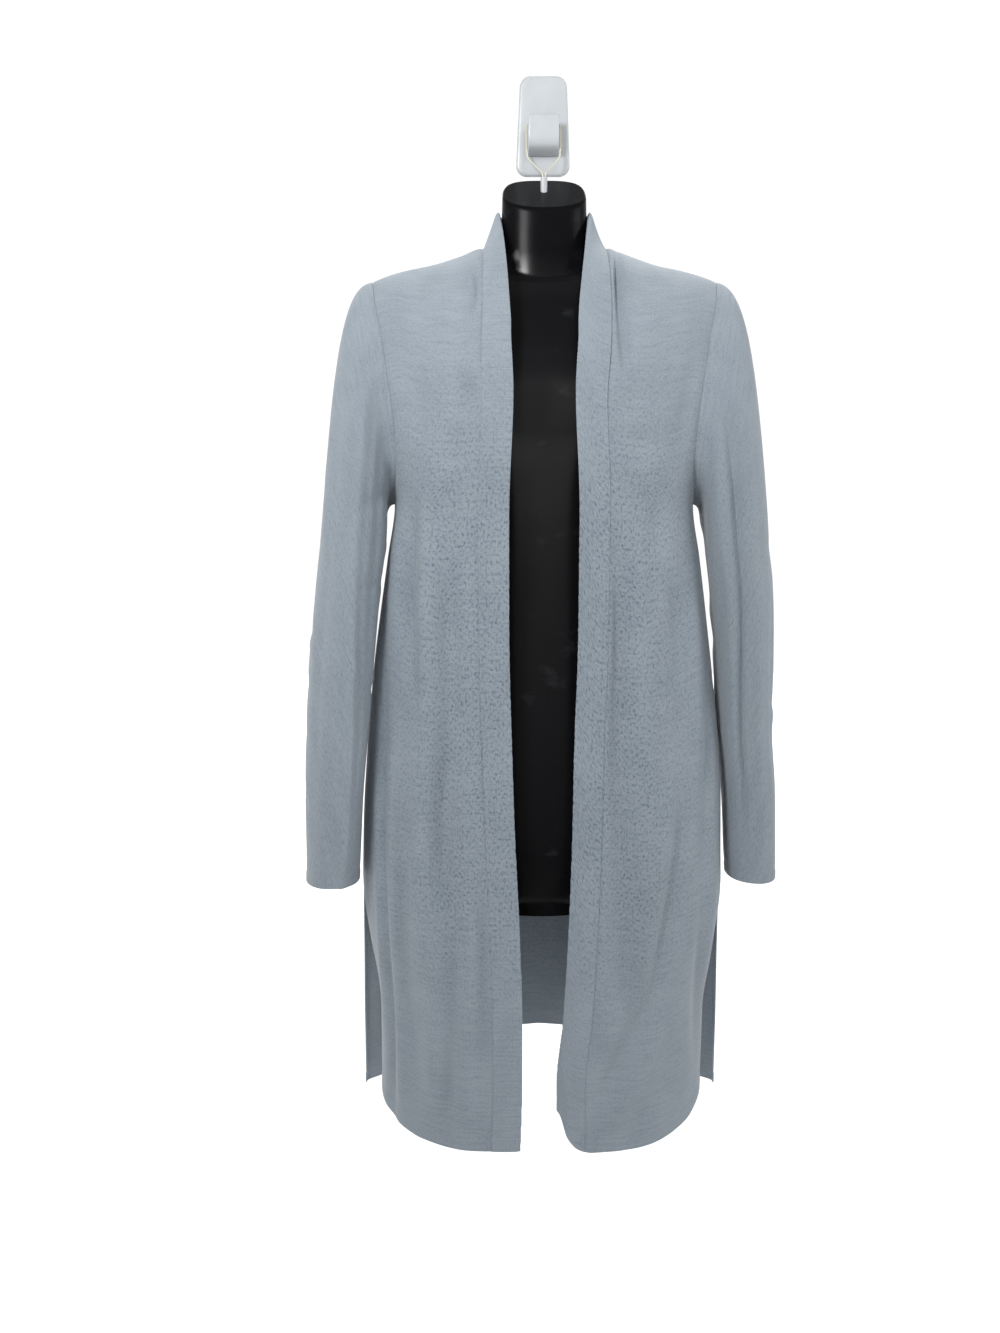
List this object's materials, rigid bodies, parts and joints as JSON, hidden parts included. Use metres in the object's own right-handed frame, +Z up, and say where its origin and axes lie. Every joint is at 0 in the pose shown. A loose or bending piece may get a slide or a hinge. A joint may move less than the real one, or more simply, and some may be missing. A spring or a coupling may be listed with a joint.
{
  "type": "open-front cardigan on a hanging torso form with a cord and a wall hook",
  "caption": "Long light grey-blue fine-knit cardigan, open down the front with a plain band and side vents, worn by a black half-round hanging torso form on a pale wall hook",
  "frame": {"origin": "the middle of the flat back of the wall hook's plate, where it lies on the wall", "axes": "+X to the viewer's right, which is the wearer's left, +Y into the wall, +Z up"},
  "size_m": [0.4946, 0.1603, 1.0888],
  "materials": {
    "knit": "fine heathered knit, soft and matt",
    "band_knit": "the same knit, doubled in the band",
    "form_gloss": "smooth high-gloss black",
    "cord_clear": "pale monofilament cord",
    "hook_pale": "smooth pale plastic"
  },
  "bodies": {
    "root": {"back": "knit", "front_left": "knit", "front_right": "knit", "sleeve_left": "knit", "sleeve_right": "knit", "collar_band": "band_knit", "torso_form": "form_gloss", "cord_ferrule": "hook_pale", "hang_cord": "cord_clear", "wall_hook": "hook_pale"}
  },
  "joints": []
}
